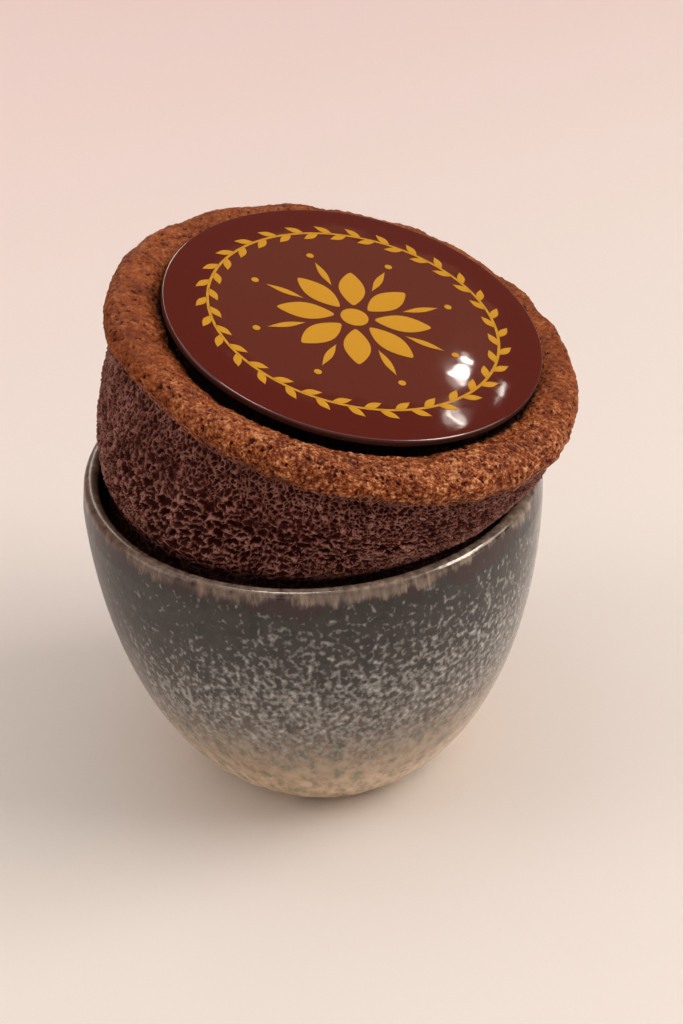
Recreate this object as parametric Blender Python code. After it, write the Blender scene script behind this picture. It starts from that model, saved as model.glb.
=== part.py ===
"""A chocolate souffle in its stoneware cup, with a printed chocolate disc on top.

Metres, +Z up. The origin is the middle of the cup's flat foot, and -Y faces the viewer.
The souffle has risen well above the rim and leans over to the right (+X).
"""
import bmesh
import bpy
from math import cos, pi, radians, sin
from mathutils import Matrix, Vector

# The cup: a turned bowl with a flat foot, a full belly and a round lip.
CUP_HEIGHT = 0.065
FOOT_RADIUS = 0.0233
FOOT_CHAMFER = 0.0006
BELLY_RADIUS = 0.0435
BELLY_HEIGHT = 0.060
FOOT_SPREAD = radians(42.0)
FOOT_HANDLE = 0.0268
BELLY_HANDLE = 0.0044
LIP_OUTER_RADIUS = 0.043
LIP_ROUND = 0.0014
WALL = 0.0032
FLOOR_THICKNESS = 0.0045

# Pieces that touch keep this much air between them.
GAP = 0.0003

# The souffle's wall, from inside the cup up to the underside of its cap.
FREE_FROM = 0.058
NECK_HEIGHT = 0.0635
NECK_RADIUS = 0.0383
NECK_SHIFT = Vector((0.0003, 0.0010))
WALL_TOP_RADIUS = 0.0409
WALL_TOP_SHIFT = -0.0009
WALL_SWELL = 0.0007

# At the front the wall flares out until it is flush with the cap, and at the left it is
# pinched in right under it.
FLARE = 0.0017
FLARE_DIRECTION = radians(-95.0)
PINCH = 0.0030
PINCH_DIRECTION = radians(185.0)

# The cap: a flat top with a fat round edge, tilted to the right and a little forward.
CAP_CENTRE = Vector((0.0075, 0.0020, 0.0885))
CAP_TILT_RIGHT = radians(13.7)
CAP_TILT_FORWARD = radians(6.6)
CAP_EDGE_RADIUS = 0.0402
CAP_EDGE_ROUND = 0.0030

# The cap isn't quite round: it is drawn out two ways and bulges three ways.
# Each has an amount and the direction of one of its high sides.
STRETCH = 0.0010
STRETCH_DIRECTION = radians(-26.0)
BULGE = 0.0007
BULGE_DIRECTION = radians(-49.0)

# The cap's top: a groove inside the edge and a low rise in the middle that carries the disc.
CROWN_HANDLE = 0.0048
CROWN_RISE = 0.0006
GROOVE_RADIUS = 0.0325
GROOVE_HEIGHT = 0.0002
GROOVE_HANDLE = 0.0010
SEAT_RADIUS = 0.0250
SEAT_HEIGHT = 0.0033

# The chocolate disc, laid on the seat a little off the cap's centre.
DISC_RADIUS = 0.0353
DISC_THICKNESS = 0.0014
DISC_EDGE_ROUND = 0.0004
DISC_SHIFT = Vector((0.0007, 0.0011, 0.0))

# How finely round things are cut.
ROUND_STEPS = 64
BELLY_POINTS = 11
LIP_POINTS = 6
WALL_RINGS = 8
EDGE_POINTS = 8

CAP_TURN = Matrix.Rotation(CAP_TILT_FORWARD, 4, "X") @ Matrix.Rotation(CAP_TILT_RIGHT, 4, "Y")
CAP_PLACE = Matrix.Translation(CAP_CENTRE) @ CAP_TURN


def clear_scene():
    for obj in list(bpy.data.objects):
        bpy.data.objects.remove(obj, do_unlink=True)


def make_material(name, colour, roughness, metallic=0.0):
    material = bpy.data.materials.new(name)
    material.use_nodes = True
    shader = material.node_tree.nodes["Principled BSDF"]
    shader.inputs["Base Color"].default_value = (*colour, 1.0)
    shader.inputs["Roughness"].default_value = roughness
    shader.inputs["Metallic"].default_value = metallic
    return material


def add_object(name, mesh, material):
    obj = bpy.data.objects.new(name, mesh)
    mesh.materials.append(material)
    bpy.context.scene.collection.objects.link(obj)
    return obj


def bezier(start, start_handle, end_handle, end, count):
    """Points along a cubic curve, both ends included."""
    points = []
    for i in range(count):
        t = i / (count - 1)
        s = 1.0 - t
        points.append(start * s**3 + start_handle * (3 * s * s * t) + end_handle * (3 * s * t * t) + end * t**3)
    return points


def arc(centre, radius, start_angle, end_angle, count):
    """Points along an arc in the profile plane, both ends included."""
    points = []
    for i in range(count):
        angle = start_angle + (end_angle - start_angle) * i / (count - 1)
        points.append(centre + Vector((cos(angle), sin(angle))) * radius)
    return points


def belly_curve():
    """The cup's outer side as (radius, height), from the widest place down to the foot."""
    foot = Vector((FOOT_RADIUS, FOOT_CHAMFER))
    foot_handle = foot + Vector((cos(FOOT_SPREAD), sin(FOOT_SPREAD))) * FOOT_HANDLE
    belly = Vector((BELLY_RADIUS, BELLY_HEIGHT))
    belly_handle = belly - Vector((0.0, BELLY_HANDLE))
    return bezier(belly, belly_handle, foot_handle, foot, BELLY_POINTS)


def inside_curve(distance, floor):
    """The belly curve moved inward by a distance and cut off at a floor height."""
    outer = belly_curve()
    points = []
    for i, point in enumerate(outer):
        before = outer[max(i - 1, 0)]
        after = outer[min(i + 1, len(outer) - 1)]
        along = (after - before).normalized()
        moved = point + Vector((along.y, -along.x)) * distance
        if moved.y > floor + GAP:
            points.append(moved)
    last = points[-1]
    points.append(Vector((last.x - (last.y - floor), floor)))
    return points


def make_cup():
    """The profile runs from the inner floor up and over the lip, then down the outside to the foot."""
    lip_centre = Vector((LIP_OUTER_RADIUS - LIP_ROUND, CUP_HEIGHT - LIP_ROUND))
    profile = [Vector((0.0, FLOOR_THICKNESS))]
    profile += reversed(inside_curve(WALL, FLOOR_THICKNESS))
    profile += arc(lip_centre, LIP_ROUND, pi, 0.0, LIP_POINTS)
    profile += belly_curve()
    profile += [Vector((FOOT_RADIUS - FOOT_CHAMFER, 0.0)), Vector((0.0, 0.0))]

    mesh = bpy.data.meshes.new("cup")
    shape = bmesh.new()
    verts = [shape.verts.new((point.x, 0.0, point.y)) for point in profile]
    for first, second in zip(verts, verts[1:]):
        shape.edges.new((first, second))
    shape.to_mesh(mesh)
    shape.free()

    stoneware = make_material("glazed stoneware", (0.10, 0.11, 0.12), 0.25)
    cup = add_object("cup", mesh, stoneware)
    turning = cup.modifiers.new("turned", "SCREW")
    turning.axis = "Z"
    turning.angle = 2 * pi
    turning.steps = ROUND_STEPS
    turning.render_steps = ROUND_STEPS
    turning.use_merge_vertices = True
    turning.merge_threshold = 0.00001
    turning.use_smooth_shade = True
    return cup


def ring(place, radius, height=0.0, unevenness=0.0, flare=0.0, pinch=0.0):
    """One ring of points in a tilted frame; unevenness, flare and pinch are shares of the whole, 0 to 1."""
    points = []
    for i in range(ROUND_STEPS):
        angle = 2 * pi * i / ROUND_STEPS
        stretch = STRETCH * cos(2 * (angle - STRETCH_DIRECTION))
        bulge = BULGE * cos(3 * (angle - BULGE_DIRECTION))
        flare_side = (0.5 + 0.5 * cos(angle - FLARE_DIRECTION)) ** 3
        pinch_side = (0.5 + 0.5 * cos(angle - PINCH_DIRECTION)) ** 4
        reach = radius + unevenness * (stretch + bulge) + FLARE * flare_side * flare - PINCH * pinch_side * pinch
        points.append(place @ Vector((reach * cos(angle), reach * sin(angle), height)))
    return points


def sunk_rings():
    """The part of the souffle inside the cup, from its bottom up to where it comes free of the wall."""
    inner = inside_curve(WALL + GAP, FLOOR_THICKNESS + GAP)
    heights = [point for point in reversed(inner) if point.y < FREE_FROM]
    return [ring(Matrix.Translation((0.0, 0.0, point.y)), point.x) for point in heights]


def wall_rings():
    """The open wall, from the neck in the cup's mouth to the tilted underside of the cap."""
    neck = Vector((NECK_SHIFT.x, NECK_SHIFT.y, NECK_HEIGHT))
    top = CAP_PLACE @ Vector((WALL_TOP_SHIFT, 0.0, -CAP_EDGE_ROUND))
    rings = []
    for i in range(WALL_RINGS):
        t = i / (WALL_RINGS - 1)
        forward = Matrix.Rotation(CAP_TILT_FORWARD * t, 4, "X")
        right = Matrix.Rotation(CAP_TILT_RIGHT * t, 4, "Y")
        place = Matrix.Translation(neck.lerp(top, t)) @ forward @ right
        opened = 1.0 - (1.0 - t) ** 4
        radius = NECK_RADIUS + (WALL_TOP_RADIUS - NECK_RADIUS) * opened + WALL_SWELL * sin(pi * t)
        rings.append(ring(place, radius, unevenness=t, flare=t**2, pinch=t**4))
    return rings


def cap_rings():
    """The cap, from its underside round its fat edge and over the groove to the seat."""
    edge = arc(Vector((CAP_EDGE_RADIUS, 0.0)), CAP_EDGE_ROUND, radians(-70.0), radians(90.0), EDGE_POINTS)
    groove = bezier(
        edge[-1],
        edge[-1] + Vector((-CROWN_HANDLE, CROWN_RISE)),
        Vector((GROOVE_RADIUS + GROOVE_HANDLE, GROOVE_HEIGHT)),
        Vector((GROOVE_RADIUS, GROOVE_HEIGHT)),
        5,
    )
    seat = [
        Vector(((GROOVE_RADIUS + SEAT_RADIUS) / 2, (GROOVE_HEIGHT + SEAT_HEIGHT) / 2)),
        Vector((SEAT_RADIUS, SEAT_HEIGHT)),
    ]
    rings = []
    for point in edge:
        under_rim = max(-point.y / CAP_EDGE_ROUND, 0.0)
        rings.append(ring(CAP_PLACE, point.x, point.y, unevenness=1.0, flare=under_rim**2, pinch=under_rim))
    for point in groove[1:]:
        outward = (point.x - GROOVE_RADIUS) / (CAP_EDGE_RADIUS - GROOVE_RADIUS)
        rings.append(ring(CAP_PLACE, point.x, point.y, unevenness=outward))
    rings += [ring(CAP_PLACE, point.x, point.y) for point in seat]
    return rings


def make_souffle():
    mesh = bpy.data.meshes.new("souffle")
    shape = bmesh.new()
    rings = [
        [shape.verts.new(point) for point in points]
        for points in sunk_rings() + wall_rings() + cap_rings()
    ]
    shape.faces.new(list(reversed(rings[0])))
    shape.faces.new(rings[-1])
    for lower, upper in zip(rings, rings[1:]):
        for i in range(ROUND_STEPS):
            j = (i + 1) % ROUND_STEPS
            shape.faces.new((lower[i], lower[j], upper[j], upper[i]))
    bmesh.ops.triangulate(shape, faces=[face for face in shape.faces if len(face.verts) > 4])
    shape.to_mesh(mesh)
    shape.free()
    mesh.shade_smooth()
    sponge = make_material("chocolate sponge", (0.13, 0.045, 0.025), 0.85)
    return add_object("souffle", mesh, sponge)


def make_disc():
    """A thin cast disc of chocolate with softly rounded edges."""
    mesh = bpy.data.meshes.new("chocolate_disc")
    shape = bmesh.new()
    bmesh.ops.create_cone(
        shape,
        cap_ends=True,
        segments=ROUND_STEPS,
        radius1=DISC_RADIUS,
        radius2=DISC_RADIUS,
        depth=DISC_THICKNESS,
    )
    shape.to_mesh(mesh)
    shape.free()
    mesh.shade_smooth()
    chocolate = make_material("tempered chocolate", (0.09, 0.018, 0.012), 0.2)
    disc = add_object("chocolate_disc", mesh, chocolate)
    middle = SEAT_HEIGHT + GAP + DISC_THICKNESS / 2
    disc.matrix_world = CAP_PLACE @ Matrix.Translation(DISC_SHIFT + Vector((0.0, 0.0, middle)))
    rounding = disc.modifiers.new("rounded edge", "BEVEL")
    rounding.width = DISC_EDGE_ROUND
    rounding.segments = 3
    rounding.limit_method = "ANGLE"
    rounding.angle_limit = radians(60.0)
    return disc


clear_scene()
make_cup()
make_souffle()
make_disc()
bpy.context.view_layer.update()
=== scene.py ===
"""A chocolate souffle in its stoneware cup, with a gold-printed chocolate disc on top.

Metres, in the part's own frame: +Z up, the viewer at -Y, and the origin in the middle of the
cup's flat foot. The pieces come in the order in which the real thing is put together.
"""

from math import cos, pi, radians, sin

import bpy
import numpy as np
from mathutils import Matrix, Vector


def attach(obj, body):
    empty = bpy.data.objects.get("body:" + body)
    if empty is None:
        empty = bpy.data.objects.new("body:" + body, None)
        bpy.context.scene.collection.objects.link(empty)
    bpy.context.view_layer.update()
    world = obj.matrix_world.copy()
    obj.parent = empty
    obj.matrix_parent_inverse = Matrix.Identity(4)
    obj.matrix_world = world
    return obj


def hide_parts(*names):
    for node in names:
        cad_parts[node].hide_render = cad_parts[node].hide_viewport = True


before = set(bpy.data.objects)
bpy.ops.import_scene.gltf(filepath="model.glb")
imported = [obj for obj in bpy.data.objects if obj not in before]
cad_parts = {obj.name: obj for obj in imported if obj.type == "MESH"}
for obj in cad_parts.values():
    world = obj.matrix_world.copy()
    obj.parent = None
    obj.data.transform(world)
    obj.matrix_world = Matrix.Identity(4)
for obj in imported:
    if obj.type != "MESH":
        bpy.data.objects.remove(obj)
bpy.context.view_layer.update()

# The cup: wheel-thrown stoneware with a round lip, a full belly and a small plain foot.
# Its reactive glaze runs thin and brown on the lip, stays dark grey with pale crystals on the
# belly, and turns to sand above the foot.
CUP_HEIGHT = 0.065
FOOT_RADIUS = 0.0233
FOOT_CHAMFER = 0.0006
BELLY_RADIUS = 0.0435
BELLY_HEIGHT = 0.060
FOOT_SPREAD = radians(42.0)
FOOT_HANDLE = 0.0268
BELLY_HANDLE = 0.0044
LIP_OUTER_RADIUS = 0.043
LIP_ROUND = 0.0014
WALL = 0.0032
FLOOR_THICKNESS = 0.0045
BELLY_POINTS = 48
LIP_POINTS = 12
CUP_STEPS = 256
SECTORS = 8
JOIN_DISTANCE = 0.000005
SMOOTH_UP_TO = radians(40.0)


def bezier(start, start_handle, end_handle, end, count):
    """Points along a cubic curve, both ends included."""
    points = []
    for i in range(count):
        t = i / (count - 1)
        s = 1.0 - t
        from_start = start * s**3 + start_handle * (3 * s * s * t)
        points.append(from_start + end_handle * (3 * s * t * t) + end * t**3)
    return points


def arc(centre, radius, start_angle, end_angle, count):
    """Points along an arc in the profile plane, both ends included."""
    points = []
    for i in range(count):
        angle = start_angle + (end_angle - start_angle) * i / (count - 1)
        points.append(centre + Vector((cos(angle), sin(angle))) * radius)
    return points


def inside_curve(outer, distance, floor):
    """An outer curve moved inward by a distance, cut off at a floor height, from the floor up."""
    points = []
    for i, point in enumerate(outer):
        before = outer[max(i - 1, 0)]
        after = outer[min(i + 1, len(outer) - 1)]
        along = (after - before).normalized()
        moved = point + Vector((along.y, -along.x)) * distance
        if moved.y > floor + FOOT_CHAMFER:
            points.append(moved)
    last = points[-1]
    points.append(Vector((last.x - (last.y - floor), floor)))
    return list(reversed(points))


def turn(name, profile, steps):
    """A round piece: its (radius, height) profile is spun into a sector, and that is copied round."""
    bpy.ops.object.select_all(action="DESELECT")
    bpy.ops.mesh.primitive_plane_add(size=CUP_HEIGHT)
    piece = bpy.context.object
    piece.name = name
    piece.data.name = name
    bpy.ops.object.mode_set(mode="EDIT")
    bpy.ops.mesh.select_mode(type="VERT")
    bpy.ops.mesh.select_all(action="SELECT")
    bpy.ops.mesh.merge(type="CENTER")
    bpy.ops.transform.translate(value=(profile[0].x, 0.0, profile[0].y))
    for before, after in zip(profile, profile[1:]):
        step = after - before
        bpy.ops.mesh.extrude_vertices_move(TRANSFORM_OT_translate={"value": (step.x, 0.0, step.y)})
    bpy.ops.mesh.select_all(action="SELECT")
    sector = 2 * pi / SECTORS
    bpy.ops.mesh.spin(steps=steps // SECTORS, angle=sector, center=(0.0, 0.0, 0.0), axis=(0.0, 0.0, 1.0))
    while sector < 1.5 * pi:
        bpy.ops.mesh.select_all(action="SELECT")
        bpy.ops.mesh.duplicate()
        bpy.ops.transform.rotate(value=sector, orient_axis="Z", center_override=(0.0, 0.0, 0.0))
        sector *= 2
    bpy.ops.mesh.select_all(action="SELECT")
    bpy.ops.mesh.remove_doubles(threshold=JOIN_DISTANCE)
    bpy.ops.mesh.normals_make_consistent(inside=False)
    bpy.ops.object.mode_set(mode="OBJECT")
    return piece


def linear(colour):
    """An sRGB hex colour as the linear colour that a socket takes."""
    shades = [int(colour[i : i + 2], 16) / 255 for i in (1, 3, 5)]
    return (*(s / 12.92 if s <= 0.04045 else ((s + 0.055) / 1.055) ** 2.4 for s in shades), 1.0)


def feed(tree, socket, value):
    """Give a socket a value, or link it to another socket or to a node's first usable output."""
    if isinstance(value, bpy.types.Node):
        value = next(s for s in value.outputs if s.enabled)
    if isinstance(value, bpy.types.NodeSocket):
        tree.links.new(value, socket)
    else:
        socket.default_value = value


def add_node(tree, kind, inputs=None, **settings):
    """A node with its settings. Its inputs go by number or by name, among those that are in use."""
    node = tree.nodes.new(kind)
    for name, value in settings.items():
        setattr(node, name, value)
    usable = [socket for socket in node.inputs if socket.enabled]
    for key, value in (inputs or {}).items():
        socket = usable[key] if isinstance(key, int) else next(s for s in usable if s.name == key)
        feed(tree, socket, value)
    return node


def number(tree, operation, *inputs):
    """A sum, a product or the like of numbers."""
    return add_node(tree, "ShaderNodeMath", dict(enumerate(inputs)), operation=operation)


def vector(tree, operation, *inputs):
    """A sum, a product or the like of places."""
    return add_node(tree, "ShaderNodeVectorMath", dict(enumerate(inputs)), operation=operation)


def one_of(tree, place, axis):
    """A place's number along the axis X, Y or Z."""
    return add_node(tree, "ShaderNodeSeparateXYZ", {0: place}).outputs[axis]


def remap(tree, value, given=(0.0, 1.0), wanted=(0.0, 1.0), smooth=False):
    """A value's given range laid onto a wanted one, and held at both ends."""
    inputs = dict(enumerate((value, *given, *wanted)))
    style = "SMOOTHSTEP" if smooth else "LINEAR"
    return add_node(tree, "ShaderNodeMapRange", inputs, interpolation_type=style)


def noise(tree, place, size, detail, roughness=0.5):
    """Cloudy noise with lumps of about a size."""
    inputs = {"Vector": place, "Scale": 1 / size, "Detail": detail, "Roughness": roughness}
    return add_node(tree, "ShaderNodeTexNoise", inputs)


def cells(tree, place, size, feature):
    """Cells of about a size, measured from their middles (F1) or their walls (DISTANCE_TO_EDGE)."""
    return add_node(tree, "ShaderNodeTexVoronoi", {"Vector": place, "Scale": 1 / size}, feature=feature)


def mix(tree, factor, first, second, kind="RGBA", blend="MIX"):
    """Two colours, or two numbers of the kind FLOAT, mixed by a factor."""
    inputs = {"Factor": factor, "A": first, "B": second}
    return add_node(tree, "ShaderNodeMix", inputs, data_type=kind, blend_type=blend)


def ramp(tree, value, *stops):
    """A value's colour, from stops that are a position and an sRGB hex colour each."""
    node = add_node(tree, "ShaderNodeValToRGB", {0: value})
    marks = node.color_ramp.elements
    for position, colour in stops[1:-1]:
        marks.new(position).color = linear(colour)
    for end, (position, colour) in ((0, stops[0]), (len(marks) - 1, stops[-1])):
        marks[end].position = position
        marks[end].color = linear(colour)
    return node


def bump(tree, height, strength, distance, under=None):
    """A height as bumps on the surface, or on other bumps."""
    inputs = {"Height": height, "Strength": strength, "Distance": distance}
    if under:
        inputs["Normal"] = under
    return add_node(tree, "ShaderNodeBump", inputs)


def new_material(name):
    """A material, its node tree and the one shader in it."""
    material = bpy.data.materials.new(name)
    material.use_nodes = True
    return material, material.node_tree, material.node_tree.nodes["Principled BSDF"]


# The parts of its range that noise is mostly in, and is seldom out of.
NOISE_MOSTLY = (0.3, 0.7)
NOISE_NEARLY_ALL = (0.25, 0.75)

belly = bezier(
    Vector((FOOT_RADIUS, FOOT_CHAMFER)),
    Vector((FOOT_RADIUS + FOOT_HANDLE * cos(FOOT_SPREAD), FOOT_CHAMFER + FOOT_HANDLE * sin(FOOT_SPREAD))),
    Vector((BELLY_RADIUS, BELLY_HEIGHT - BELLY_HANDLE)),
    Vector((BELLY_RADIUS, BELLY_HEIGHT)),
    BELLY_POINTS,
)
belly_down = list(reversed(belly))
lip = arc(Vector((LIP_OUTER_RADIUS - LIP_ROUND, CUP_HEIGHT - LIP_ROUND)), LIP_ROUND, 0.0, pi, LIP_POINTS)
cup_profile = [Vector((0.0, 0.0)), Vector((FOOT_RADIUS - FOOT_CHAMFER, 0.0))] + belly + lip
cup_profile += list(reversed(inside_curve(belly_down, WALL, FLOOR_THICKNESS)))
cup_profile += [Vector((0.0, FLOOR_THICKNESS))]
cup = turn("stoneware_cup", cup_profile, CUP_STEPS)
bpy.ops.object.shade_smooth_by_angle(angle=SMOOTH_UP_TO)

# Glazed stoneware: a glossy glass skin of IOR 1.5, a little uneven, and duller on the left.
glaze, tree, skin = new_material("reactive glaze on stoneware")
skin.inputs["IOR"].default_value = 1.5
here = add_node(tree, "ShaderNodeTexCoord").outputs["Object"]
height = one_of(tree, here, "Z")

# The glaze ran while it was molten, so its zones have ragged borders about 3 mm wide.
BORDER = 0.005
RUN_SIZE = 0.0040
run = noise(tree, here, RUN_SIZE, 6.0, 0.68)
run_height = remap(tree, run, wanted=(-BORDER, BORDER))
zone_height = number(tree, "ADD", height, run_height)
zone = remap(tree, zone_height, (0.0, CUP_HEIGHT))
ground = ramp(
    tree,
    zone,
    (0.12, "#e2c9a5"),
    (0.24, "#bba588"),
    (0.36, "#988973"),
    (0.46, "#6c6156"),
    (0.60, "#47423e"),
    (0.72, "#37332f"),
    (1.0, "#2a2623"),
)

# Its patterns were drawn out downwards as it ran, so they are laid round the cup and stretched.
SPREAD = 0.038
DRAWN_OUT = 0.75
MOTTLE_SIZE = 0.0024
sideways = vector(tree, "MULTIPLY", here, (1.0, 1.0, 0.0))
round_way = vector(tree, "NORMALIZE", sideways)
upward = vector(tree, "MULTIPLY", here, (0.0, 0.0, DRAWN_OUT))
glaze_place = vector(tree, "MULTIPLY_ADD", round_way, (SPREAD, SPREAD, SPREAD), upward)
mottle = noise(tree, glaze_place, MOTTLE_SIZE, 2.5, 0.6)
mottle_shade = ramp(tree, mottle, (0.34, "#7f9a90"), (0.50, "#e6d6ca"), (0.64, "#ffffff"))
mottled = mix(tree, 0.8, ground, mottle_shade, blend="MULTIPLY")

# Crystals up to 1 mm across, few below the lip and crowded on the belly down to the sandy part.
# There are fewer of them on the left.
CRYSTAL_SIZE = 0.0009
FEWER_LEFT = 0.24
LEFT_PART = (-0.038, -0.012)
crystal_noise = noise(tree, glaze_place, CRYSTAL_SIZE, 1.0, 0.5)
left_part = remap(tree, one_of(tree, here, "X"), LEFT_PART, (FEWER_LEFT, 0.0))
crystal_zone = number(tree, "ADD", zone, left_part)
crowding = remap(tree, crystal_zone, (0.66, 0.98), (0.50, 0.72))
clump = number(tree, "MULTIPLY_ADD", mottle, 0.2, crystal_noise)
crystal_over = number(tree, "SUBTRACT", clump, crowding)
crystal = remap(tree, crystal_over, (0.0, 0.38))
crystal_fade = remap(tree, zone, (0.26, 0.52), (0.2, 1.0))
crystal_amount = number(tree, "MULTIPLY", crystal, crystal_fade)
speckled = mix(tree, crystal_amount, mottled, linear("#aeaeab"))

# On the lip the glaze drew off the edge in upright streaks 1 to 2 mm apart, and it pooled maroon
# in patches right below.
STREAK_SIZE = 0.0018
STREAK_DRAWN_OUT = 0.22
STREAK_REACH = 0.0011
POOL_SIZE = 0.0090
POOL_REACH = 0.0010
POOL_FLOOR = (0.0630, 0.0594)
BARE_LIP = (0.0624, 0.0643)
streak_place = vector(tree, "MULTIPLY", here, (1.0, 1.0, STREAK_DRAWN_OUT))
streak = noise(tree, streak_place, STREAK_SIZE, 4.0, 0.66)
streak_colour = ramp(tree, streak, (0.30, "#463833"), (0.50, "#73645a"), (0.70, "#9d8c76"))
streak_low = remap(tree, streak, NOISE_MOSTLY, (STREAK_REACH, -STREAK_REACH))
comb = remap(tree, left_part, (0.0, FEWER_LEFT), (-1.0, -0.3))
streak_height = number(tree, "MULTIPLY_ADD", streak_low, comb, height)
pool_patch = noise(tree, here, POOL_SIZE, 3.0, 0.6)
drawn = remap(tree, pool_patch, (0.35, 0.65), (POOL_REACH, -POOL_REACH))
lip_height = number(tree, "ADD", streak_height, drawn)
on_lip = remap(tree, lip_height, BARE_LIP, smooth=True)
pool_low = remap(tree, pool_patch, (0.40, 0.62), POOL_FLOOR)
pool_over = number(tree, "SUBTRACT", streak_height, pool_low)
pooled = remap(tree, pool_over, (-0.0003, 0.0005), (0.0, 0.95))
under_lip = mix(tree, pooled, speckled, linear("#301818"))
# Painted shade: the lip's colour darkens towards the left.
lip_left_painted_shade = ramp(tree, left_part, (0.0, "#ffffff"), (FEWER_LEFT, "#d8c0b4"))
lip_colour = mix(tree, 1.0, streak_colour, lip_left_painted_shade, blend="MULTIPLY")
glaze_colour = mix(tree, on_lip, under_lip, lip_colour)
feed(tree, skin.inputs["Base Color"], glaze_colour)
GLAZE_ROUGHNESS = 0.12
CRYSTAL_ROUGHNESS = 0.34
DULLER_LEFT = 0.8
glaze_roughness = remap(tree, crystal_amount, wanted=(GLAZE_ROUGHNESS, CRYSTAL_ROUGHNESS))
dull_left = number(tree, "MULTIPLY_ADD", left_part, DULLER_LEFT, glaze_roughness)
feed(tree, skin.inputs["Roughness"], dull_left)
DIMPLE_SIZE = 0.00625
pool = noise(tree, here, DIMPLE_SIZE, 2.0)
pool_bump = bump(tree, pool, 0.6, 0.0004)
crystal_bump = bump(tree, crystal_amount, 0.35, 0.0001, pool_bump)
feed(tree, skin.inputs["Normal"], crystal_bump)
cup.data.materials.append(glaze)
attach(cup, "root")
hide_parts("cup")

# The souffle: whisked chocolate sponge, baked in the cup until it stood well above the rim.
# It rose higher on the left, so it leans over to the right. The open crumb shows on its wall, and
# the oven browned the top into a dry pitted crust with a fat rim.
GAP = 0.0003
FREE_FROM = 0.058
NECK_HEIGHT = 0.0635
NECK_RADIUS = 0.0383
NECK_SHIFT = Vector((0.0003, 0.0010))
WALL_HEIGHT = 0.0220
WALL_TOP_RADIUS = 0.0409
WALL_TOP_SHIFT = -0.0009
SHIFT_OVER = 0.002
WALL_SWELL = 0.0007
FLARE = 0.0017
FLARE_DIRECTION = radians(-95.0)
FLARE_FOCUS = 3
PINCH = 0.0030
PINCH_DIRECTION = radians(185.0)
PINCH_FOCUS = 4
CAP_CENTRE = Vector((0.0075, 0.0020, 0.0885))
CAP_TILT_RIGHT = radians(13.7)
CAP_TILT_FORWARD = radians(6.6)
CAP_EDGE_RADIUS = 0.0402
CAP_EDGE_ROUND = 0.0030
STRETCH = 0.0010
STRETCH_DIRECTION = radians(-26.0)
BULGE = 0.0007
BULGE_DIRECTION = radians(-49.0)
CROWN_HANDLE = 0.0048
CROWN_RISE = 0.0006
GROOVE_RADIUS = 0.0325
GROOVE_HEIGHT = 0.0002
GROOVE_HANDLE = 0.0010
SEAT_RADIUS = 0.0250
SEAT_HEIGHT = 0.0033
SOUFFLE_STEPS = 1040
SUNK_SKIP = 12
WALL_SPANS = 82
NECK_SPANS = 5
EDGE_SPANS = 36
GROOVE_SPANS = 34
WALL_TOP = NECK_HEIGHT + WALL_HEIGHT
CAP_LEVEL = WALL_TOP + CAP_EDGE_ROUND

# It is first turned upright, with the cap's rim level, and leaned over afterwards.
cup_inside = inside_curve(belly_down[::SUNK_SKIP], WALL + GAP, FLOOR_THICKNESS + GAP)
sunk = [point for point in cup_inside if point.y < FREE_FROM]
neck = Vector((NECK_RADIUS, NECK_HEIGHT))
upright_profile = [Vector((0.0, sunk[0].y))] + sunk
upright_profile += [sunk[-1].lerp(neck, i / NECK_SPANS) for i in range(1, NECK_SPANS)]
for i in range(WALL_SPANS + 1):
    t = i / WALL_SPANS
    opened = 1.0 - (1.0 - t) ** 4
    radius = NECK_RADIUS + (WALL_TOP_RADIUS - NECK_RADIUS) * opened + WALL_SWELL * sin(pi * t)
    upright_profile.append(Vector((radius, NECK_HEIGHT + WALL_HEIGHT * t)))
edge_centre = Vector((CAP_EDGE_RADIUS, CAP_LEVEL))
edge = arc(edge_centre, CAP_EDGE_ROUND, radians(-70.0), radians(90.0), EDGE_SPANS)
groove = bezier(
    edge[-1],
    edge[-1] + Vector((-CROWN_HANDLE, CROWN_RISE)),
    Vector((GROOVE_RADIUS + GROOVE_HANDLE, CAP_LEVEL + GROOVE_HEIGHT)),
    Vector((GROOVE_RADIUS, CAP_LEVEL + GROOVE_HEIGHT)),
    GROOVE_SPANS,
)
seat_edge = Vector((SEAT_RADIUS, CAP_LEVEL + SEAT_HEIGHT))
upright_profile += edge + groove[1:] + [groove[-1].lerp(seat_edge, 0.5), seat_edge]
upright_profile += [Vector((0.0, CAP_LEVEL + SEAT_HEIGHT))]
souffle = turn("souffle_crumb", upright_profile, SOUFFLE_STEPS)
bpy.ops.object.shade_smooth()

# Every point keeps its upright place, so the crumb's pattern leans and stretches with the souffle.
count = len(souffle.data.vertices)
upright = np.empty(count * 3, np.float32)
souffle.data.vertices.foreach_get("co", upright)
upright_place = souffle.data.attributes.new("upright", "FLOAT_VECTOR", "POINT")
upright_place.data.foreach_set("vector", upright)
x, y, z = upright.reshape(-1, 3).astype(float).T
radius = np.hypot(x, y)
angle = np.arctan2(y, x)
risen = np.clip((z - NECK_HEIGHT) / WALL_HEIGHT, 0.0, 1.0)
inward = np.clip((radius - GROOVE_RADIUS) / (CAP_EDGE_RADIUS - GROOVE_RADIUS), 0.0, 1.0)
uneven = np.where(z > CAP_LEVEL, inward, risen)
lobes = STRETCH * np.cos(2 * (angle - STRETCH_DIRECTION)) + BULGE * np.cos(3 * (angle - BULGE_DIRECTION))
reach = radius + uneven * lobes
flare_side = (0.5 + 0.5 * np.cos(angle - FLARE_DIRECTION)) ** FLARE_FOCUS
pinch_side = (0.5 + 0.5 * np.cos(angle - PINCH_DIRECTION)) ** PINCH_FOCUS
under_rim = np.clip((CAP_LEVEL - z) / CAP_EDGE_ROUND, 0.0, 1.0)
reach += FLARE * flare_side * under_rim**2 * risen**2 - PINCH * pinch_side * under_rim * risen**4
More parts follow.
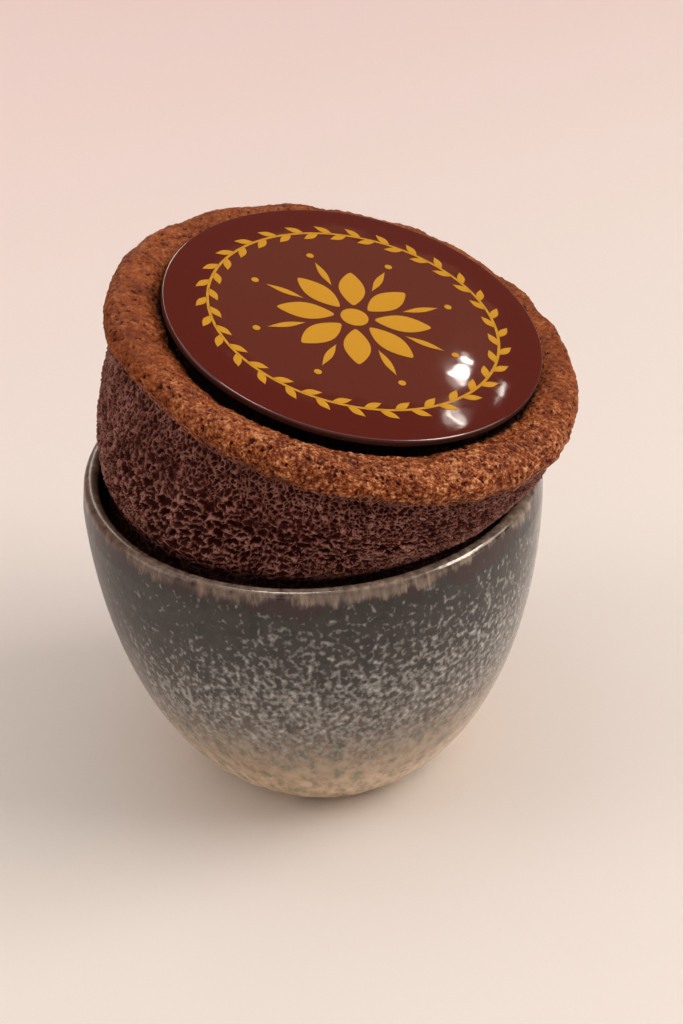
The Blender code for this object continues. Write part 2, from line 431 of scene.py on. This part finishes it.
cap_turn = Matrix.Rotation(CAP_TILT_FORWARD, 4, "X") @ Matrix.Rotation(CAP_TILT_RIGHT, 4, "Y")
cap_place = Matrix.Translation(CAP_CENTRE) @ cap_turn
wall_top_place = cap_place @ Vector((WALL_TOP_SHIFT, 0.0, -CAP_EDGE_ROUND))
levels = (FREE_FROM, NECK_HEIGHT, WALL_TOP)
middle_x = np.interp(z, levels, (0.0, NECK_SHIFT.x, wall_top_place.x))
middle_y = np.interp(z, levels, (0.0, NECK_SHIFT.y, wall_top_place.y))
middle_z = np.minimum(z, NECK_HEIGHT) + (wall_top_place.z - NECK_HEIGHT) * risen
over_wall = np.clip((z - WALL_TOP) / SHIFT_OVER, 0.0, 1.0)
flat_x = reach * np.cos(angle) - WALL_TOP_SHIFT * over_wall
flat_y = reach * np.sin(angle)
above = np.clip(z - WALL_TOP, 0.0, None)
tilt_x = CAP_TILT_FORWARD * risen
tilt_y = CAP_TILT_RIGHT * risen
side_x = flat_x * np.cos(tilt_y) + above * np.sin(tilt_y)
side_z = -flat_x * np.sin(tilt_y) + above * np.cos(tilt_y)
leaned = np.stack(
    [
        middle_x + side_x,
        middle_y + flat_y * np.cos(tilt_x) - side_z * np.sin(tilt_x),
        middle_z + flat_y * np.sin(tilt_x) + side_z * np.cos(tilt_x),
    ],
    axis=1,
)
souffle.data.vertices.foreach_set("co", leaned.astype(np.float32).ravel())
souffle.data.update()

WANDER = 0.0024
WANDER_SIZE = 0.0026
PATCH_SIZE = 0.00625
GRAIN_SIZE = 0.0010
FINE_CELL = 0.0010
COARSE_CELL = 0.0027
PIT_SPACING = 0.0010
RAGGED = 0.07
PATCH_REACH = 0.004
CRUST_RAGGED = 0.0012
LEFT_SIDE = (-0.040, -0.010)
FLATTENED = (1.4, 2.4)
NARROWED = (2.4, 1.1)
FINE_CELL_BORDER = (WALL_TOP - 0.012, WALL_TOP - 0.004)
CRUST_BORDER = (CAP_LEVEL - 0.0028, CAP_LEVEL - 0.0012)


def crumb_pattern(tree, place):
    """The baked pattern at an upright place: how hollow, crusted, pitted and raised it is, each 0 to 1."""
    wander = noise(tree, place, WANDER_SIZE, 3.0, 0.6)
    wander_way = vector(tree, "SUBTRACT", wander.outputs["Color"], (0.5, 0.5, 0.5))
    wandered = vector(tree, "MULTIPLY_ADD", wander_way, (WANDER, WANDER, WANDER), place)
    apart = add_node(tree, "ShaderNodeSeparateXYZ", {0: wandered})
    still = add_node(tree, "ShaderNodeSeparateXYZ", {0: place})
    level = still.outputs["Z"]
    patch = noise(tree, place, PATCH_SIZE, 3.0, 0.6)
    raised = noise(tree, place, GRAIN_SIZE, 3.0, 0.62)
    ragged = remap(tree, raised, NOISE_MOSTLY, (-RAGGED, RAGGED))

    # Cells of about 1 mm lie under the crust. Lower down they are nearly 3 mm wide and squashed flat,
    # but on the left, where it rose most, they are narrow and drawn out upright.
    fine_cell = cells(tree, wandered, FINE_CELL, "DISTANCE_TO_EDGE")
    fine_place = number(tree, "MULTIPLY_ADD", ragged, 1.5, fine_cell.outputs["Distance"])
    fine = remap(tree, fine_place, (0.0, 0.26))
    flatness = remap(tree, apart.outputs["X"], LEFT_SIDE, FLATTENED)
    narrowness = remap(tree, apart.outputs["X"], LEFT_SIDE, NARROWED)
    drift_y = number(tree, "SUBTRACT", apart.outputs["Y"], still.outputs["Y"])
    narrowed_y = number(tree, "MULTIPLY_ADD", still.outputs["Y"], narrowness, drift_y)
    above_middle = number(tree, "SUBTRACT", apart.outputs["Z"], NECK_HEIGHT + WALL_HEIGHT / 2)
    squashed_z = number(tree, "MULTIPLY", above_middle, flatness)
    squashed = add_node(
        tree, "ShaderNodeCombineXYZ", {"X": apart.outputs["X"], "Y": narrowed_y, "Z": squashed_z}
    )
    coarse_edge = cells(tree, squashed, COARSE_CELL, "DISTANCE_TO_EDGE")
    coarse_cell = cells(tree, squashed, COARSE_CELL, "F1")
    coarse_place = number(tree, "MULTIPLY_ADD", ragged, 0.5, coarse_edge.outputs["Distance"])
    coarse = remap(tree, coarse_place, (0.0, 0.21), smooth=True)
    cell_chance = one_of(tree, coarse_cell.outputs["Color"], "X")
    cell_depth = remap(tree, cell_chance, (0.1, 0.7), (0.55, 0.95))
    open_cell = number(tree, "MULTIPLY", coarse, cell_depth)
    fine_share = remap(tree, apart.outputs["X"], (-0.038, -0.016), (0.22, 0.15))
    low_hollow = number(tree, "MULTIPLY_ADD", fine, fine_share, open_cell)
    high_hollow = number(tree, "MULTIPLY_ADD", fine, 0.56, 0.06)
    patch_level = remap(tree, patch, NOISE_NEARLY_ALL, (-PATCH_REACH, PATCH_REACH))
    rough_level = number(tree, "ADD", level, patch_level)
    upper = remap(tree, rough_level, FINE_CELL_BORDER, smooth=True)
    hollow = mix(tree, upper, low_hollow, high_hollow, kind="FLOAT")

    # The crust begins on the underside of the rim, with a ragged border about 1.5 mm wide.
    crust_ragged = remap(tree, patch, NOISE_NEARLY_ALL, (-CRUST_RAGGED, CRUST_RAGGED))
    crust_place = number(tree, "ADD", level, crust_ragged)
    crusted = remap(tree, crust_place, CRUST_BORDER, smooth=True)

    # Burst bubbles left pits up to 1 mm wide all over the crust.
    pit_cell = cells(tree, wandered, PIT_SPACING, "F1")
    pit_chance = one_of(tree, pit_cell.outputs["Color"], "X")
    pit_size = remap(tree, pit_chance, (0.2, 1.0), (0.08, 0.48))
    pit_place = number(tree, "ADD", pit_cell.outputs["Distance"], ragged)
    pit_depth = number(tree, "SUBTRACT", pit_size, pit_place)
    pitted = remap(tree, pit_depth, (0.0, 0.14), smooth=True)
    return hollow, crusted, pitted, raised


baking = bpy.data.node_groups.new("baked crumb", "GeometryNodeTree")
baking.interface.new_socket("Geometry", in_out="INPUT", socket_type="NodeSocketGeometry")
baking.interface.new_socket("Geometry", in_out="OUTPUT", socket_type="NodeSocketGeometry")
dough = add_node(baking, "NodeGroupInput")
place = add_node(baking, "GeometryNodeInputNamedAttribute", {"Name": "upright"}, data_type="FLOAT_VECTOR")
hollow, crusted, pitted, raised = crumb_pattern(baking, place)
CRUMB_DEPTH = -0.0014
CRUMB_RISE = 0.0005
PIT_DEPTH = -0.0004
GRAIN_HEIGHT = 0.00022
SWELL_HEIGHT = 0.0008
SWELL_SIZE = 0.018
LUMP_HEIGHT = 0.0004
LUMP_SIZE = 0.0065
crumb_move = number(baking, "MULTIPLY_ADD", hollow, CRUMB_DEPTH, CRUMB_RISE)
grain_move = remap(baking, raised, NOISE_NEARLY_ALL, (-GRAIN_HEIGHT, GRAIN_HEIGHT))
lump = noise(baking, place, LUMP_SIZE, 2.0, 0.5)
lump_move = remap(baking, lump, NOISE_NEARLY_ALL, (-LUMP_HEIGHT, LUMP_HEIGHT))
pit_move = number(baking, "MULTIPLY_ADD", pitted, PIT_DEPTH, grain_move)
crust_move = number(baking, "ADD", pit_move, lump_move)
skin_move = mix(baking, crusted, crumb_move, crust_move, kind="FLOAT")
swell = noise(baking, place, SWELL_SIZE, 3.0, 0.5)
swell_move = remap(baking, swell, (0.2, 0.8), (-SWELL_HEIGHT, SWELL_HEIGHT))
all_move = number(baking, "ADD", skin_move, swell_move)
free = remap(baking, one_of(baking, place, "Z"), (FREE_FROM, NECK_HEIGHT))
free_move = number(baking, "MULTIPLY", all_move, free)

# Beside the lip it may sink in but not swell, so it stays clear of the cup.
BESIDE_LIP = (NECK_HEIGHT + 0.0015, NECK_HEIGHT + 0.0060)
MOST_SWELL = (-0.0001, 0.0015)
swell_limit = remap(baking, one_of(baking, place, "Z"), BESIDE_LIP, MOST_SWELL)
held_move = number(baking, "MINIMUM", free_move, swell_limit)
outward = add_node(baking, "GeometryNodeInputNormal")
way = vector(baking, "SCALE", outward, held_move)
moved = add_node(baking, "GeometryNodeSetPosition", {"Geometry": dough.outputs[0], "Offset": way})
add_node(baking, "NodeGroupOutput", {0: moved})
modifier = souffle.modifiers.new("baked crumb", "NODES")
modifier.node_group = baking
bpy.context.view_layer.objects.active = souffle
bpy.ops.object.modifier_apply(modifier=modifier.name)

# Baked chocolate sponge: dry, porous and browned on top, so it hardly shines anywhere. The crust is
# grainiest at the front; painted shade darkens it away from the front, and near black under the disc.
DISC_RADIUS = 0.0353
DISC_SHIFT = Vector((0.0007, 0.0011, 0.0))
TONE_SIZE = 0.006
SPECK_SIZE = 0.0005
SPECK_SHARE = 0.07
GRAIN_MIDDLE = 0.52
sponge, tree, skin = new_material("baked chocolate sponge")
skin.inputs["IOR"].default_value = 1.45
place = add_node(tree, "ShaderNodeAttribute", attribute_name="upright").outputs["Vector"]
hollow, crusted, pitted, raised = crumb_pattern(tree, place)
tone = noise(tree, place, TONE_SIZE, 4.0, 0.65)
tone_shade = ramp(tree, tone, (0.34, "#cdbdb4"), (0.60, "#ffffff"))
speck = noise(tree, place, SPECK_SIZE, 2.0, 0.6)
speck_part = remap(tree, speck, NOISE_MOSTLY, (-SPECK_SHARE, SPECK_SHARE))
frontward = vector(tree, "DOT_PRODUCT", place, (0.2, -1.0, 0.0))
front_part = remap(tree, frontward.outputs["Value"], (0.010, 0.036))
graininess = remap(tree, front_part, wanted=(0.6, 1.3))
# The crumb is darkest deep in its hollows and palest on its ridge tops: its own colour, partly painted shade
# in the hollows.
speckled_hollow = number(tree, "SUBTRACT", hollow, speck_part)
crumb_stops_with_hollow_shade = ((0.0, "#ad8178"), (0.15, "#8a5b50"), (0.34, "#56251d"), (0.64, "#370904"))
crumb_colour_with_hollow_shade = ramp(tree, speckled_hollow, *crumb_stops_with_hollow_shade)
# The crust is lighter on its raised grains and darker in the low ones, most strongly at the front: its own
# grain, partly painted glints and painted shade.
grain = number(tree, "ADD", raised, speck_part)
grain_apart = number(tree, "SUBTRACT", grain, GRAIN_MIDDLE)
speckled_rise = number(tree, "MULTIPLY_ADD", grain_apart, graininess, GRAIN_MIDDLE)
crust_grain_and_glint_stops = ((0.32, "#5d2511"), (0.45, "#904820"), (0.57, "#aa6336"), (0.74, "#d8a074"))
crust_grain_and_glints = ramp(tree, speckled_rise, *crust_grain_and_glint_stops)
# Painted shade: the crust's colour is darker everywhere but at the front.
crust_painted_side_shade = ramp(tree, front_part, (0.0, "#e7dccb"), (1.0, "#ffffff"))
toned_crust = mix(tree, 1.0, crust_grain_and_glints, crust_painted_side_shade, blend="MULTIPLY")
# Painted shade: the crust is coloured darker in its pits.
pit_painted_shade = mix(tree, pitted, toned_crust, linear("#480f06"))
# Painted shade: under the disc's edge the crust is coloured near black, as the shadow in the gap beneath the
# disc.
off_disc = vector(tree, "SUBTRACT", place, (DISC_SHIFT.x, DISC_SHIFT.y, 0.0))
off_disc_flat = vector(tree, "MULTIPLY", off_disc, (1.0, 1.0, 0.0))
off_disc_length = vector(tree, "LENGTH", off_disc_flat)
under_disc_painted_shade = remap(tree, off_disc_length.outputs["Value"], (DISC_RADIUS + 0.0003, DISC_RADIUS - 0.0005))
crust_colour = mix(tree, under_disc_painted_shade, pit_painted_shade, linear("#1c0604"))
bare_colour = mix(tree, crusted, crumb_colour_with_hollow_shade, crust_colour)
toned_colour = mix(tree, 1.0, bare_colour, tone_shade, blend="MULTIPLY")

# Painted shade: down in the mouth of the cup the crumb is coloured near black, where the lip shades it.
mouth_painted_shade = remap(tree, one_of(tree, place, "Z"), (NECK_HEIGHT, NECK_HEIGHT + 0.0020), (0.85, 0.0))
sponge_colour = mix(tree, mouth_painted_shade, toned_colour, linear("#120302"))
feed(tree, skin.inputs["Base Color"], sponge_colour)
skin.inputs["Specular IOR Level"].default_value = 0.13
skin.inputs["Roughness"].default_value = 0.55
rise_bump = bump(tree, raised, 0.45, 0.0006)
roughened = remap(tree, front_part, wanted=(0.3, 0.6))
speck_bump = bump(tree, speck, roughened, 0.0005, rise_bump)
feed(tree, skin.inputs["Normal"], speck_bump)
souffle.data.materials.append(sponge)

# The crust comes off the crumb along the underside of the rim, and both are closed inside.
bpy.ops.object.select_all(action="DESELECT")
souffle.select_set(True)
levels = np.empty(count * 3, np.float32)
souffle.data.attributes["upright"].data.foreach_get("vector", levels)
levels = levels.reshape(-1, 3)[:, 2]
SPLIT_LEVEL = WALL_TOP - 0.0010
INNER_SHARE = 0.93
select = levels > SPLIT_LEVEL
bpy.ops.object.mode_set(mode="EDIT")
bpy.ops.mesh.select_mode(type="VERT")
bpy.ops.mesh.select_all(action="DESELECT")
bpy.ops.object.mode_set(mode="OBJECT")
souffle.data.vertices.foreach_set("select", select)
face_corner = np.empty(len(souffle.data.loops), np.int32)
souffle.data.loops.foreach_get("vertex_index", face_corner)
face_start = np.empty(len(souffle.data.polygons), np.int32)
souffle.data.polygons.foreach_get("loop_start", face_start)
whole = np.minimum.reduceat(select[face_corner].astype(int), face_start)
souffle.data.polygons.foreach_set("select", whole.astype(bool))
bpy.ops.object.mode_set(mode="EDIT")
bpy.ops.mesh.select_mode(type="FACE")
bpy.ops.mesh.separate(type="SELECTED")
bpy.ops.object.mode_set(mode="OBJECT")
crust = next(obj for obj in bpy.context.selected_objects if obj is not souffle)
crust.name = "souffle_crust"
crust.data.name = "souffle_crust"
for piece in (souffle, crust):
    bpy.ops.object.select_all(action="DESELECT")
    bpy.context.view_layer.objects.active = piece
    piece.select_set(True)
    bpy.ops.object.mode_set(mode="EDIT")
    bpy.ops.mesh.select_mode(type="EDGE")
    bpy.ops.mesh.select_all(action="DESELECT")
    bpy.ops.mesh.select_non_manifold(extend=False)
    bpy.ops.mesh.mark_sharp()
    bpy.ops.mesh.extrude_edges_move()
    bpy.ops.transform.resize(value=(INNER_SHARE, INNER_SHARE, INNER_SHARE), center_override=wall_top_place)
    bpy.ops.mesh.edge_face_add()
    bpy.ops.object.mode_set(mode="OBJECT")
    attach(piece, "root")
    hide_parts("souffle")

# The chocolate disc: dark chocolate, tempered and cast thin on a smooth sheet, so it is glossy.
# It lies on the low rise in the middle of the crust, and its edge hangs free over the groove.
DISC_THICKNESS = 0.0014
DISC_EDGE_ROUND = 0.0004
DISC_STEPS = 256
DISC_EDGE_POINTS = 8
RING_RADII = (0.010, 0.020, 0.028, 0.032, 0.0338)
WAVE_SIZE = 0.008
half = DISC_THICKNESS / 2
disc_profile = [Vector((0.0, -half))] + [Vector((radius, -half)) for radius in RING_RADII]
round_low = Vector((DISC_RADIUS - DISC_EDGE_ROUND, DISC_EDGE_ROUND - half))
round_high = Vector((DISC_RADIUS - DISC_EDGE_ROUND, half - DISC_EDGE_ROUND))
disc_profile += arc(round_low, DISC_EDGE_ROUND, -pi / 2, 0.0, DISC_EDGE_POINTS)
disc_profile += arc(round_high, DISC_EDGE_ROUND, 0.0, pi / 2, DISC_EDGE_POINTS)
disc_profile += [Vector((radius, half)) for radius in reversed(RING_RADII)] + [Vector((0.0, half))]
disc = turn("chocolate_disc_cast", disc_profile, DISC_STEPS)
flat = np.empty(len(disc.data.vertices) * 3, np.float32)
disc.data.vertices.foreach_get("co", flat)
disc.data.attributes.new("cast_place", "FLOAT_VECTOR", "POINT").data.foreach_set("vector", flat)
disc_place = cap_place @ Matrix.Translation(DISC_SHIFT + Vector((0.0, 0.0, SEAT_HEIGHT + GAP + half)))
disc.data.transform(disc_place)
bpy.ops.object.shade_smooth_by_angle(angle=SMOOTH_UP_TO)
chocolate, tree, skin = new_material("tempered dark chocolate")
skin.inputs["IOR"].default_value = 1.5
cast_place = add_node(tree, "ShaderNodeAttribute", attribute_name="cast_place").outputs["Vector"]
cast_flat = vector(tree, "MULTIPLY", cast_place, (1.0, 1.0, 0.0))
cast_reach = vector(tree, "LENGTH", cast_flat)
side = remap(tree, cast_reach.outputs["Value"], (DISC_RADIUS - 0.0002, DISC_RADIUS - 0.00005))
# Painted shade: the disc's side is coloured darker than its top.
disc_colour_with_side_shade = mix(tree, side, linear("#541105"), linear("#2e0806"))
feed(tree, skin.inputs["Base Color"], disc_colour_with_side_shade)
side_roughness = remap(tree, side, wanted=(0.035, 0.34))
feed(tree, skin.inputs["Roughness"], side_roughness)
here = add_node(tree, "ShaderNodeTexCoord").outputs["Object"]
wave = noise(tree, here, WAVE_SIZE, 1.5)
wave_bump = bump(tree, wave, 1.0, 0.00003)
feed(tree, skin.inputs["Normal"], wave_bump)
disc.data.materials.append(chocolate)
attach(disc, "root")
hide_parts("chocolate_disc")

# The gold print: cocoa butter with gold pigment, laid on the sheet before the disc was cast on it.
# It is a wreath of small leaves round a flower with eight petals, and stands a hair proud.
PRINT_PROUD = 0.00006
PRINT_SUNK = 0.00002
MOTIF_POINTS = 32
LENS_POWER = 1.2
WREATH_RADIUS = 0.0270
STEM_WIDTH = 0.0005
STEM_STEPS = 144
LEAF_PAIRS = 30
LEAF_SIZE = (0.0040, 0.0015)
LEAF_TURN = radians(32.0)
PETALS = 8
PETAL_SIZE = (0.0105, 0.0050)
PETAL_FROM = 0.0038
SEPAL_SIZE = (0.0075, 0.0014)
SEPAL_FROM = 0.0100
DOT_SIZE = 0.0014
DOT_RADIUS = 0.0190
EYE_SIZE = 0.0052


def motif(name, length, width, pointed):
    """One flat motif that starts at the middle and points along X; pointed 0 is round and 1 is sharp."""
    bpy.ops.object.select_all(action="DESELECT")
    bpy.ops.mesh.primitive_circle_add(vertices=MOTIF_POINTS, radius=0.5, fill_type="NGON")
    piece = bpy.context.object
    piece.name = name
    for vert in piece.data.vertices:
        along = vert.co.x + 0.5
        side = 1.0 if vert.co.y > 0.0 else -1.0
        lens = side * 0.5 * max(sin(pi * along), 0.0) ** LENS_POWER
        across = vert.co.y + (lens - vert.co.y) * pointed
        vert.co = Vector((along * length, across * width, half - PRINT_SUNK))
    bpy.ops.object.mode_set(mode="EDIT")
    bpy.ops.mesh.select_all(action="SELECT")
    bpy.ops.mesh.extrude_region_move(TRANSFORM_OT_translate={"value": (0.0, 0.0, PRINT_SUNK + PRINT_PROUD)})
    bpy.ops.mesh.select_all(action="SELECT")
    bpy.ops.mesh.normals_make_consistent(inside=False)
    bpy.ops.object.mode_set(mode="OBJECT")
    return piece


def lay_round(piece, count, radius, turned=0.0, first=0.0):
    """Copies of a motif laid round the middle at a radius, each turned on its own start."""
    copies = []
    for i in range(count):
        copy = piece.copy()
        copy.data = piece.data.copy()
        around = Matrix.Rotation(first + 2 * pi * i / count, 4, "Z")
        copy.data.transform(around @ Matrix.Translation((radius, 0.0, 0.0)) @ Matrix.Rotation(turned, 4, "Z"))
        bpy.context.scene.collection.objects.link(copy)
        copies.append(copy)
    return copies


stem_bottom = half - PRINT_SUNK
stem_top = half + PRINT_PROUD
stem_profile = [
    Vector((WREATH_RADIUS - STEM_WIDTH / 2, stem_bottom)),
    Vector((WREATH_RADIUS + STEM_WIDTH / 2, stem_bottom)),
    Vector((WREATH_RADIUS + STEM_WIDTH / 2, stem_top)),
    Vector((WREATH_RADIUS - STEM_WIDTH / 2, stem_top)),
    Vector((WREATH_RADIUS - STEM_WIDTH / 2, stem_bottom)),
]
stem = turn("gold_print", stem_profile, STEM_STEPS)
leaf = motif("leaf", *LEAF_SIZE, 1.0)
petal = motif("petal", *PETAL_SIZE, 0.55)
sepal = motif("sepal", *SEPAL_SIZE, 1.0)
dot = motif("dot", DOT_SIZE, DOT_SIZE, 0.0)
eye = motif("eye", EYE_SIZE, EYE_SIZE, 0.0)
eye.data.transform(Matrix.Translation((-EYE_SIZE / 2, 0.0, 0.0)))
step = 2 * pi / LEAF_PAIRS
laid = lay_round(leaf, LEAF_PAIRS, WREATH_RADIUS, pi / 2 - LEAF_TURN)
laid += lay_round(leaf, LEAF_PAIRS, WREATH_RADIUS, pi / 2 + LEAF_TURN, step / 2)
laid += lay_round(petal, PETALS, PETAL_FROM)
laid += lay_round(sepal, PETALS, SEPAL_FROM, first=pi / PETALS)
laid += lay_round(dot, PETALS, DOT_RADIUS, first=pi / PETALS)
for part in (leaf, petal, sepal, dot):
    bpy.data.objects.remove(part)
bpy.ops.object.select_all(action="DESELECT")
for part in laid + [eye, stem]:
    part.select_set(True)
bpy.context.view_layer.objects.active = stem
bpy.ops.object.join()
gold_print = stem
gold_print.data.transform(disc_place)
gold, tree, skin = new_material("gold cocoa butter print")
skin.inputs["Base Color"].default_value = linear("#d19a20")
skin.inputs["Metallic"].default_value = 0.25
skin.inputs["Roughness"].default_value = 0.35
skin.inputs["IOR"].default_value = 1.46
gold_print.data.materials.append(gold)
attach(gold_print, "root")

# The table: a smooth pale top, and not part of the object.
bpy.ops.object.select_all(action="DESELECT")
bpy.ops.mesh.primitive_plane_add(size=4.0)
table = bpy.context.object
table.name = "table_top"
paint, tree, skin = new_material("pale matte table top")
skin.inputs["Roughness"].default_value = 0.7
here = add_node(tree, "ShaderNodeTexCoord").outputs["Object"]
across = vector(tree, "DOT_PRODUCT", here, (-0.45, 0.9, 0.0))
far_left = remap(tree, across.outputs["Value"], (0.0, 0.45), smooth=True)
top_colour = mix(tree, far_left, linear("#e7e3e1"), linear("#edd9da"))
feed(tree, skin.inputs["Base Color"], top_colour)
table.data.materials.append(paint)

# Plain studio light: a soft lamp from the right and behind, and a pale room all round.
bpy.context.scene.view_settings.view_transform = "Standard"
room = bpy.data.worlds.new("pale room")
room.use_nodes = True
room.node_tree.nodes["Background"].inputs["Color"].default_value = linear("#ffe4d2")
room.node_tree.nodes["Background"].inputs["Strength"].default_value = 0.25
bpy.context.scene.world = room


def lamp(name, place, target, size, radiance, colour, roll=0.0, shape="RECTANGLE"):
    """A flat soft lamp of a width and height that faces a target, as bright as it is told to look."""
    light = bpy.data.lights.new(name, "AREA")
    light.shape = shape
    light.size, light.size_y = size
    light.energy = radiance * pi * size[0] * size[1] * (pi / 4 if shape == "ELLIPSE" else 1.0)
    light.color = linear(colour)[:3]
    obj = bpy.data.objects.new(name, light)
    facing = (Vector(target) - Vector(place)).to_track_quat("-Z", "Y").to_matrix().to_4x4()
    obj.matrix_world = Matrix.Translation(place) @ facing @ Matrix.Rotation(roll, 4, "Z")
    bpy.context.scene.collection.objects.link(obj)
    return obj


lamp("ceiling lamp", (0.0, 0.0, 1.5), (0.0, 0.0, 0.0), (2.2, 1.6), 1.08, "#fff6ee")
lamp("key lamp", (1.0, -0.1, 0.85), (0.0, 0.0, 0.05), (0.8, 0.8), 5.5, "#fff3e8")
lamp("left panel", (-1.1, -0.1, 0.6), (0.0, 0.0, 0.06), (0.5, 0.9), 2.1, "#fff6ee")
lamp("front panel", (-0.3, -1.3, 0.6), (0.0, 0.0, 0.06), (1.2, 0.8), 0.6, "#fff6ee")

# What the glossy surfaces mirror: a dim round panel, small bright windows, and two soft panels.
lamp(
    "dim panel",
    (0.4422, 1.1309, 0.9818),
    (0.0094, 0.0026, 0.0933),
    (0.281, 0.156),
    0.38,
    "#ffb488",
    radians(18.3),
    "ELLIPSE",
)
lamp("big window", (0.543, 1.093, 0.965), (0.0275, -0.0088, 0.0875), (0.015, 0.011), 45.0, "#fff6ea")
lamp("low window", (0.548, 1.057, 0.988), (0.0253, -0.0223, 0.0865), (0.022, 0.003), 40.0, "#fff6ea")
lamp("small window", (0.582, 1.077, 0.958), (0.0345, -0.0129, 0.0853), (0.004, 0.004), 30.0, "#fff6ea")
back_strip = lamp("back strip", (-0.33, 1.15, 0.85), (0.0, 0.0, 0.09), (0.24, 1.5), 5.5, "#fff6ea")
top_panel = lamp("top panel", (-0.12, 0.15, 1.5), (0.0, 0.0, 0.06), (0.45, 0.36), 14.0, "#fff6ea")
side_panel = lamp(
    "side panel", (1.02, -0.10, 1.03), (0.03, -0.03, 0.064), (0.8, 0.35), 16.0, "#fff6ea", radians(45.0)
)
for glossy_only in (back_strip, top_panel, side_panel):
    glossy_only.visible_diffuse = False

# The camera: where the photograph was taken from. The lens is in terms of film 36 mm high.
CAMERA_PLACE = (0.0, -0.3176, 0.2683)
LOOKS_DOWN = 34.19
LOOKS_RIGHT = 0.93
ROLLED = -2.93
view = bpy.data.cameras.new("camera")
view.sensor_fit = "VERTICAL"
view.sensor_height = 36.0
view.lens = 70.3125
camera = bpy.data.objects.new("camera", view)
yaw = Matrix.Rotation(radians(-LOOKS_RIGHT), 4, "Z")
pitch = Matrix.Rotation(radians(90.0 - LOOKS_DOWN), 4, "X")
roll = Matrix.Rotation(radians(ROLLED), 4, "Z")
camera.matrix_world = Matrix.Translation(CAMERA_PLACE) @ yaw @ pitch @ roll
bpy.context.scene.collection.objects.link(camera)
bpy.context.scene.camera = camera
